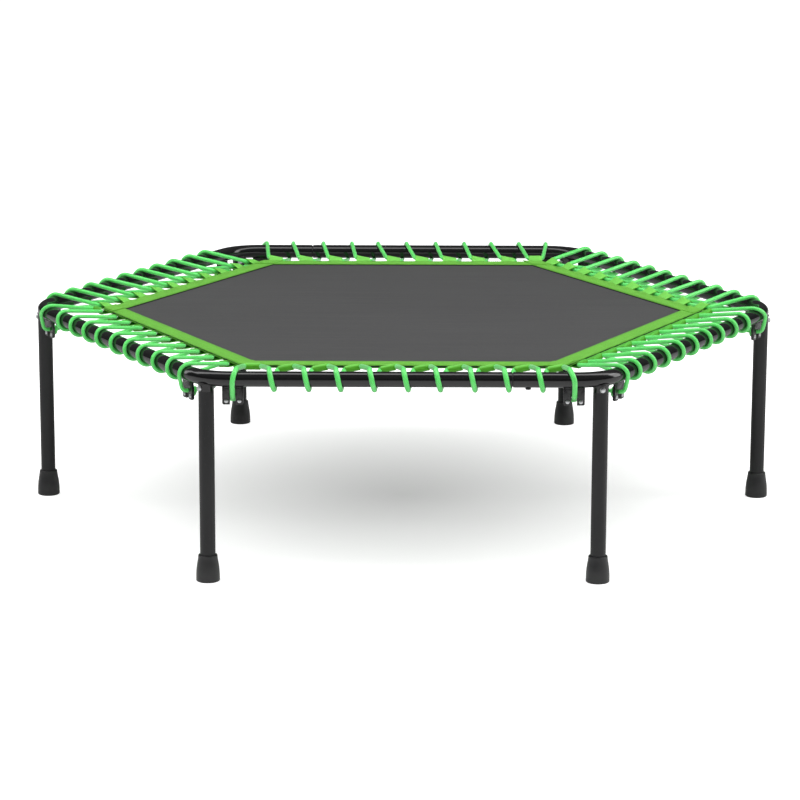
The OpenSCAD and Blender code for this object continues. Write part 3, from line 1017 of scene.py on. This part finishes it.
def make_weave_effect():
    """Plain weave in a plane measured in metres: warp along x and weft across it."""
    tree, given, out = group(
        "plain_weave",
        [("Place", "vector", None), ("Warp Pitch", "value", 0.001), ("Weft Pitch", "value", 0.001)],
        [("Height", "value"), ("Gap Shade", "value"), ("Thread", "value")],
    )
    apart = apart_of(tree, given["Place"])
    across = math_of(tree, "DIVIDE", apart[1], given["Warp Pitch"])
    along = math_of(tree, "DIVIDE", apart[0], given["Weft Pitch"])
    over = chequer_of(tree, across, along)
    under = math_of(tree, "SUBTRACT", 1.0, over)
    warp, weft = (
        math_of(tree, "MULTIPLY", waves_of(tree, way), math_of(tree, "MULTIPLY_ADD", up, 0.5, 0.5))
        for way, up in ((across, over), (along, under))
    )
    height = math_of(tree, "MAXIMUM", warp, weft)
    tree.links.new(height, out["Height"])
    # Painted shade: a mask that darkens the colour in the gaps between the threads
    tree.links.new(ramp_of(tree, height, [(0.25, 1), (0.6, 0)]), out["Gap Shade"])
    tree.links.new(steps_of(tree, across), out["Thread"])
    return tree


def make_wear_effect():
    """Handling marks and dust on a coat of paint: cloudy patches, fine scuffs, an uneven skin."""
    tree, given, out = group(
        "paint_wear",
        [("Patch Size", "value", 0.1), ("Skin Size", "value", 0.002)],
        [("Patches", "value"), ("Scuffs", "value"), ("Skin", "value")],
    )
    place = put(tree, "TexCoord").outputs["Object"]
    per_patch = math_of(tree, "DIVIDE", 1.0, given["Patch Size"])
    per_skin = math_of(tree, "DIVIDE", 1.0, given["Skin Size"])
    patches = noise_of(tree, place, per_patch, Detail=3.0, Roughness=0.6)
    tree.links.new(ramp_of(tree, patches, [(0.35, 0), (0.7, 1)]), out["Patches"])
    drawn = put(tree, "Mapping", Vector=place, Rotation=(0.4, 0.7, 0.2), Scale=(900, 60, 400))
    scuffs = noise_of(tree, drawn.outputs[0], 1.0, Detail=2.0)
    tree.links.new(ramp_of(tree, scuffs, [(0.66, 0), (0.74, 1)]), out["Scuffs"])
    tree.links.new(noise_of(tree, place, per_skin, Detail=1.0), out["Skin"])
    return tree


weave_effect = make_weave_effect()
wear_effect = make_wear_effect()


# --- Materials ---------------------------------------------------------------------------

def make_paint(name, dark, worn, gloss, dull, patch, specular=0.5):
    """Black enamel over steel."""
    made, tree = material(name)
    wear = use_group(tree, wear_effect, Patch_Size=patch, Skin_Size=0.0016)
    marks = math_of(tree, "MULTIPLY", wear["Patches"], wear["Scuffs"])
    set_shader(
        tree,
        Base_Color=blend_of(tree, marks, (*dark, 1), (*worn, 1)),
        Roughness=math_of(tree, "MULTIPLY_ADD", wear["Patches"], dull - gloss, gloss),
        Normal=bump_of(tree, wear["Skin"], 0.00002, 0.3), Specular_IOR_Level=specular,
    )
    return made


def make_metal(name, tone, gloss):
    """Zinc plate with a fine grain."""
    made, tree = material(name)
    wear = use_group(tree, wear_effect, Patch_Size=0.004, Skin_Size=0.0006)
    set_shader(
        tree,
        Metallic=1.0,
        Base_Color=blend_of(tree, wear["Patches"], (*tone, 1), (*(t * 0.72 for t in tone), 1)),
        Roughness=math_of(tree, "MULTIPLY_ADD", wear["Skin"], 0.2, gloss),
        Normal=bump_of(tree, wear["Skin"], 0.00003, 0.4),
    )
    return made


def make_rubber():
    made, tree = material("foot_rubber")
    wear = use_group(tree, wear_effect, Patch_Size=0.03, Skin_Size=0.0008)
    set_shader(
        tree,
        Base_Color=blend_of(
            tree, wear["Patches"], (0.013, 0.013, 0.014, 1), (0.022, 0.022, 0.022, 1),
        ),
        Roughness=math_of(tree, "MULTIPLY_ADD", wear["Patches"], 0.14, 0.36),
        Normal=bump_of(tree, wear["Skin"], 0.00006, 0.5),
    )
    return made


# Plaits round the cord, and the length of one along it
PLAITS = 8.0
PLAIT_LENGTH = 3.4 * MM


def make_braid():
    """Braided sheath of the bungee. Its map goes round from 0 to 1, and along in metres."""
    made, tree = material("cord_braid")
    apart = apart_of(tree, cloth_map(tree))
    around = math_of(tree, "MULTIPLY", apart[0], PLAITS)
    along = math_of(tree, "DIVIDE", apart[1], PLAIT_LENGTH)
    left = math_of(tree, "ADD", around, along)
    right = math_of(tree, "SUBTRACT", along, around)
    over, under = waves_of(tree, left), waves_of(tree, right)
    height = math_of(
        tree, "MULTIPLY_ADD",
        math_of(tree, "SUBTRACT", over, under), chequer_of(tree, left, right), under,
    )
    fibre = noise_of(tree, put(tree, "TexCoord").outputs["Object"], 900.0, Detail=2.0)
    fibre = math_of(tree, "MULTIPLY", fibre, 0.5)
    tone = math_of(tree, "MULTIPLY_ADD", steps_of(tree, left), 0.3, fibre)
    colour = blend_of(tree, tone, (0.09, 0.84, 0.12, 1), (0.155, 0.98, 0.2, 1))
    # Painted shade: darker colour in the grooves between the plaits
    groove_shade = ramp_of(tree, height, [(0.05, 0.45), (0.45, 1)])
    set_shader(
        tree,
        Base_Color=blend_of(tree, 1.0, colour, groove_shade, "MULTIPLY"),
        Roughness=0.3, Specular_IOR_Level=1.0, Sheen_Weight=0.45, Sheen_Roughness=0.3,
        Normal=bump_of(tree, height, 0.00025, 0.7),
    )
    return made


# Pitch of the webbing's ribs, and of the threads across them and of the mat's tapes
RIB = 1.6 * MM
TAPE = 1.1 * MM


def make_webbing(name, tone, light_tone, lit_top=None):
    """Ribbed polyester webbing, woven along its length. Given a colour for its upper side, the
    webbing turns to it there: a painted highlight where it faces up to the light."""
    made, tree = material(name)
    place = cloth_map(tree)
    weave = use_group(tree, weave_effect, Place=place, Warp_Pitch=RIB, Weft_Pitch=TAPE)
    cloud = math_of(tree, "MULTIPLY", noise_of(tree, place, 35.0, Detail=3.0), 0.6)
    amount = math_of(tree, "MULTIPLY_ADD", weave["Thread"], 0.35, cloud)
    colour = blend_of(tree, amount, (*tone, 1), (*light_tone, 1))
    # Painted highlight: lighter where the surface faces up
    if lit_top:
        up = apart_of(tree, put(tree, "TexCoord").outputs["Normal"])[2]
        colour = blend_of(tree, ramp_of(tree, up, [(0.45, 0), (0.95, 1)]), colour, (*lit_top, 1))
    # Painted shade in the gaps between the threads
    gap_shade = ramp_of(tree, weave["Gap Shade"], [(0, 1), (1, 0.62)])
    set_shader(
        tree,
        Base_Color=blend_of(tree, 1.0, colour, gap_shade, "MULTIPLY"),
        Roughness=0.62, Specular_IOR_Level=0.3,
        Normal=bump_of(tree, weave["Height"], 0.0003, 0.6),
    )
    return made


def make_mat_weave(name, dark, light):
    """Permeable polypropylene cloth: fine tapes, a little uneven in tone along each one."""
    made, tree = material(name)
    place = cloth_map(tree)
    weave = use_group(tree, weave_effect, Place=place, Warp_Pitch=TAPE, Weft_Pitch=TAPE)
    drawn = put(tree, "Mapping", Vector=place, Scale=(4, 130, 1)).outputs[0]
    streaks = noise_of(tree, drawn, 1.0, Detail=4.0, Roughness=0.65)
    cloud = math_of(tree, "MULTIPLY", noise_of(tree, place, 4.0, Detail=2.0), 0.3)
    tone = math_of(tree, "MULTIPLY_ADD", streaks, 0.8, cloud)
    tone = math_of(tree, "MULTIPLY_ADD", weave["Thread"], 0.15, tone)
    colour = blend_of(tree, tone, (*dark, 1), (*light, 1))
    # Painted shade in the gaps between the threads
    gap_shade = ramp_of(tree, weave["Gap Shade"], [(0, 1), (1, 0.6)])
    set_shader(
        tree,
        Base_Color=blend_of(tree, 1.0, colour, gap_shade, "MULTIPLY"),
        Roughness=0.68, Specular_IOR_Level=0.25,
        Normal=bump_of(tree, weave["Height"], 0.00015, 0.35),
    )
    return made


deep_black = (0.006, 0.006, 0.0065)
worn_black = (0.03, 0.03, 0.03)
frame_paint = make_paint("frame_paint", deep_black, worn_black, 0.1, 0.16, 0.12)
leg_paint = make_paint(
    "leg_paint", (0.011, 0.011, 0.0115), (0.035, 0.035, 0.035), 0.36, 0.46, 0.1, 0.35,
)
bracket_paint = make_paint("bracket_paint", deep_black, worn_black, 0.22, 0.34, 0.03)
worn_grey = (0.05, 0.05, 0.05)
sleeve_paint = make_paint("sleeve_paint", (0.012, 0.012, 0.012), worn_grey, 0.45, 0.6, 0.02)
bright_steel = make_metal("bright_steel", (0.6, 0.61, 0.62), 0.26)
screw_black = make_paint("screw_black", (0.012, 0.012, 0.013), worn_grey, 0.3, 0.45, 0.01)
rubber = make_rubber()
braid = make_braid()
webbing = make_webbing("webbing_green", (0.133, 0.43, 0.04), (0.19, 0.59, 0.075))
# Loop webbing: darker than the border's as painted shade, with a painted highlight on top
loop_shaded_tones = ((0.07, 0.33, 0.012), (0.12, 0.48, 0.03))
shaded_loop_webbing = make_webbing("loop_webbing_green_painted_shade", *loop_shaded_tones, (0.2, 0.68, 0.1))
shaded_loop_webbing_dim_top = make_webbing("loop_webbing_green_painted_shade_dim_top", *loop_shaded_tones, (0.1, 0.5, 0.05))
# Sides whose loops get a dimmer painted highlight on top
DIM_LIT_TOP_SIDES = (1, 5)
thread = make_webbing("thread_green", (0.2, 0.6, 0.09), (0.27, 0.74, 0.14))
mat_cloth = make_mat_weave("mat_weave", (0.05, 0.05, 0.051), (0.0935, 0.0935, 0.0945))
# Near-black hem: painted shade along the top strip's edges
shade_hem_cloth = make_mat_weave("hem_weave_painted_shade", (0.004, 0.004, 0.004), (0.012, 0.012, 0.012))


def dress(piece, made, body=None):
    """Gives a piece its material and the body that it rides on."""
    piece.data.materials.clear()
    piece.data.materials.append(made)
    if body:
        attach(piece, body)


for node, piece in steel.items():
    if node.startswith("leg_") and node[4:] in CORNERS:
        dress(piece, leg_paint)
    elif node.startswith("foot_"):
        dress(piece, rubber)
    elif node.startswith("cord_brackets") or node == "bracket_keepers":
        dress(piece, bracket_paint)
    elif node in ("leg_bolts", "leg_nuts", "bracket_rivets"):
        dress(piece, bright_steel)
    elif node == "joint_screws":
        dress(piece, screw_black)
    elif node == "joint_sleeves":
        dress(piece, sleeve_paint)
    else:
        dress(piece, frame_paint)
dress(weld_beads, frame_paint, "frame")

dress(cord_knots, braid, "frame")
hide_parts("cord_knots")
for side, name in enumerate(SIDES):
    dress(bungee_cords[side], braid)
    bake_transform(bungee_cords[side])
    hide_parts("bungee_cord_" + name)
    dress(borders[side], webbing, "mat")
    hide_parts("border_" + name)
    # The loops take the shaded webbing: painted shade, with a painted highlight on top
    shaded_loop_cloth = shaded_loop_webbing_dim_top if side in DIM_LIT_TOP_SIDES else shaded_loop_webbing
    dress(webbing_loops[side], shaded_loop_cloth, "mat")
    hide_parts("mat_loops_" + name)
    dress(stitching[side], thread, "mat")
dress(border_underside, webbing, "mat")
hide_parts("border_underside")
dress(mat_sheet, mat_cloth, "mat")
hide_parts("mat_fabric")
dress(border_hem, shade_hem_cloth, "mat")


# --- Floor and light ---------------------------------------------------------------------

# The floor's own light straight to the camera: in the middle, and from 1 m away. It is weaker
# under the trampoline, so the cast shadow comes out deeper there: partly painted shadow.
GLOW_MIDDLE = 0.365
GLOW_FAR = 0.99
# Its light to what mirrors it, between 3 m in front and 3 m behind: a painted reflection,
# bright in front and farther behind, dim under and just behind the trampoline.
MIRRORED_REACH = 3.0
MIRRORED = [(0.0, 0.3), (0.3, 0.5), (0.4, 0.5), (0.5, 0.1), (0.7, 0.1), (0.8, 0.45), (1.0, 0.3)]


def make_floor():
    floor = start("plane", "floor", size=90)
    made, tree = material("floor_white")
    set_shader(tree, Base_Color=(0.62, 0.62, 0.62, 1), Roughness=1.0, Specular_IOR_Level=0.0)
    seen = put(tree, "LightPath").outputs
    straight = math_of(tree, "MAXIMUM", seen["Is Camera Ray"], seen["Is Transmission Ray"])
    place = put(tree, "TexCoord").outputs["Object"]
    away = put(tree, "VectorMath", {"operation": "LENGTH"}, i0=place).outputs["Value"]
    glow = put(tree, "MapRange", i0=away, i1=0.0, i2=1.0, i3=GLOW_MIDDLE, i4=GLOW_FAR).outputs[0]
    back = put(
        tree, "MapRange", i0=apart_of(tree, place)[1], i1=-MIRRORED_REACH, i2=MIRRORED_REACH,
    ).outputs[0]
    mirrored = ramp_of(tree, back, MIRRORED)
    glow = math_of(tree, "MULTIPLY", glow, straight)
    set_shader(
        tree, Emission_Color=(1, 1, 1, 1),
        Emission_Strength=math_of(tree, "MULTIPLY_ADD", mirrored, seen["Is Glossy Ray"], glow),
    )
    floor.data.materials.append(made)


def make_lamp(name, place, aim, size, radiance, glossy=True):
    data = bpy.data.lights.new(name, "AREA")
    data.shape = "RECTANGLE"
    data.size, data.size_y = size
    data.energy = radiance * math.pi * size[0] * size[1]
    lamp = bpy.data.objects.new(name, data)
    lamp.location = place
    lamp.rotation_euler = (Vector(aim) - Vector(place)).to_track_quat("-Z", "Y").to_euler()
    lamp.visible_glossy = glossy
    bpy.context.scene.collection.objects.link(lamp)


def make_world():
    """A dim studio that looks white straight through the camera."""
    world = bpy.data.worlds.new("studio")
    bpy.context.scene.world = world
    world.use_nodes = True
    tree = world.node_tree
    up = apart_of(tree, put(tree, "TexCoord").outputs["Generated"])[2]
    level = ramp_of(tree, up, [(0.0, 0.06), (0.3, 0.08), (0.6, 0.16), (1.0, 0.16)])
    level = math_of(tree, "MAXIMUM", level, put(tree, "LightPath").outputs["Is Camera Ray"])
    tree.links.new(level, tree.nodes["Background"].inputs["Color"])


make_floor()
make_world()
mat_middle = (0, 0, 0.33)
make_lamp("overhead_softbox", (0, -0.15, 3.0), (0, -0.15, 0.33), (8.0, 1.2), 3.4)
make_lamp("wide_fill", (0, 0, 3.2), mat_middle, (6.0, 6.0), 0.4, glossy=False)
make_lamp("front_fill", (0, -3.6, 1.8), mat_middle, (5.0, 2.0), 2.1, glossy=False)
make_lamp("right_softbox", (3.2, -0.2, 1.5), mat_middle, (1.1, 2.2), 4.4)
make_lamp("left_softbox", (-3.0, 0.6, 1.5), mat_middle, (0.7, 2.2), 3.2)
bpy.context.scene.view_settings.view_transform = "Standard"
